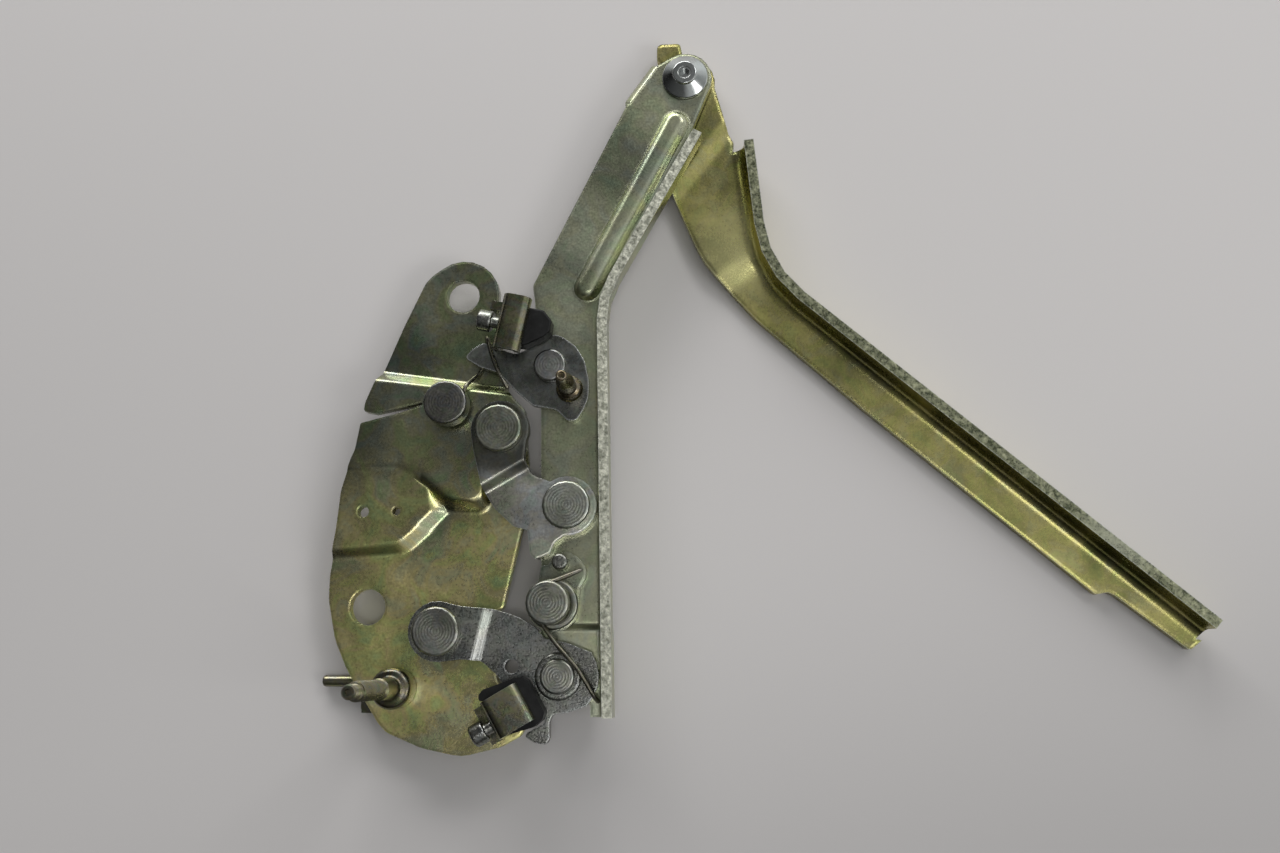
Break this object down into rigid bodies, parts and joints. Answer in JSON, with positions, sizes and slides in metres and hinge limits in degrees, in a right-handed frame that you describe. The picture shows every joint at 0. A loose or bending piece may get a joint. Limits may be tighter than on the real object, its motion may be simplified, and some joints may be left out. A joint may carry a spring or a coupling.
{
  "type": "hood hinge",
  "caption": "Vehicle hood hinge: a body plate, two links and a mid arm form a four-bar lift, and a long flanged hood arm folds on the mid arm, held by a sprung latch.",
  "frame": {"origin": "on the rear face of the body plate's tab, the flat face that bolts to the body, 15.7 mm from the tab's bolt hole", "axes": "+Z out of the plate towards the rivet heads, along every joint axis; +Y along the mid arm towards the hood pivot; +X from the body side to the hood side"},
  "size_m": [0.3024, 0.2595, 0.0627],
  "materials": {
    "olive_zinc": "olive passivated zinc, satin, faintly iridescent",
    "yellow_zinc": "golden passivated zinc, satin",
    "grey_zinc": "grey zinc, satin",
    "bright_zinc": "bright zinc",
    "blue_zinc": "blue-grey zinc, satin",
    "rivet_steel": "dark turned steel",
    "chrome": "polished",
    "brass": "dark yellow passivated, turned",
    "black_rubber": "matt",
    "spring_steel": "drawn wire, satin",
    "bronze": "plain bearing bronze, dull"
  },
  "bodies": {
    "base": {"base_plate": "olive_zinc", "body_stud": "olive_zinc", "pin_bracket": "olive_zinc", "locating_pin": "olive_zinc", "catch_post": "rivet_steel", "upper_stop_bracket": "olive_zinc", "upper_stop_rubber": "black_rubber", "upper_stop_screw": "bright_zinc", "lower_stop_bracket": "olive_zinc", "lower_stop_rubber": "black_rubber", "lower_stop_screw": "bright_zinc", "upper_link_base_rivet": "rivet_steel", "lower_link_base_rivet": "rivet_steel", "lower_link_washer": "bronze"},
    "lower_link": {"lower_link": "bright_zinc"},
    "upper_link": {"upper_link": "grey_zinc"},
    "mid_arm": {"mid_arm": "olive_zinc", "upper_link_arm_rivet": "rivet_steel", "lower_link_ring": "bright_zinc", "lower_link_arm_rivet": "rivet_steel", "latch_pivot_rivet": "blue_zinc", "spring_post": "rivet_steel", "pawl_spring": "spring_steel", "pivot_screw": "chrome", "pivot_bush": "bronze", "pivot_nut": "bright_zinc"},
    "pawl": {"pawl": "olive_zinc", "pawl_pin": "bright_zinc"},
    "latch": {"latch_lever": "blue_zinc", "striker_bolt": "brass", "latch_spring": "spring_steel"},
    "hood_arm": {"hood_arm": "yellow_zinc"}
  },
  "joints": [
    {"name": "lift", "type": "hinge", "parent": "base", "child": "lower_link", "pos_m": [0.0035, -0.1065, 0], "axis": [0, 0, 1], "range_deg": [0, 10]},
    {"name": "upper_link_turn", "type": "hinge", "parent": "base", "child": "upper_link", "pos_m": [0.024, -0.0375, 0], "axis": [0, 0, 1], "range_deg": [0, 15.6]},
    {"name": "arm_turn", "type": "hinge", "parent": "lower_link", "child": "mid_arm", "pos_m": [0.045, -0.1215, 0], "axis": [0, 0, 1], "range_deg": [-14.4, 0]},
    {"name": "pawl_release", "type": "hinge", "parent": "mid_arm", "child": "pawl", "pos_m": [0.043, -0.0975, 0], "axis": [0, 0, 1], "range_deg": [-26.2, 0], "deforming": ["pawl_spring"]},
    {"name": "latch_release", "type": "hinge", "parent": "mid_arm", "child": "latch", "pos_m": [0.041, -0.0145, 0], "axis": [0, 0, 1], "range_deg": [0, 6], "stiffness_Nm_per_rad": 0.3, "springref_deg": -5.73, "deforming": ["latch_spring"]},
    {"name": "hood_fold", "type": "hinge", "parent": "mid_arm", "child": "hood_arm", "pos_m": [0.089, 0.095, 0], "axis": [0, 0, 1], "range_deg": [-34, 10]}
  ],
  "couplings": [
    {"joint": "upper_link_turn", "follows": "lift", "ratio": 1.549},
    {"joint": "arm_turn", "follows": "lift", "ratio": -1.4269},
    {"joint": "pawl_release", "follows": "lift", "ratio": -2.6}
  ]
}
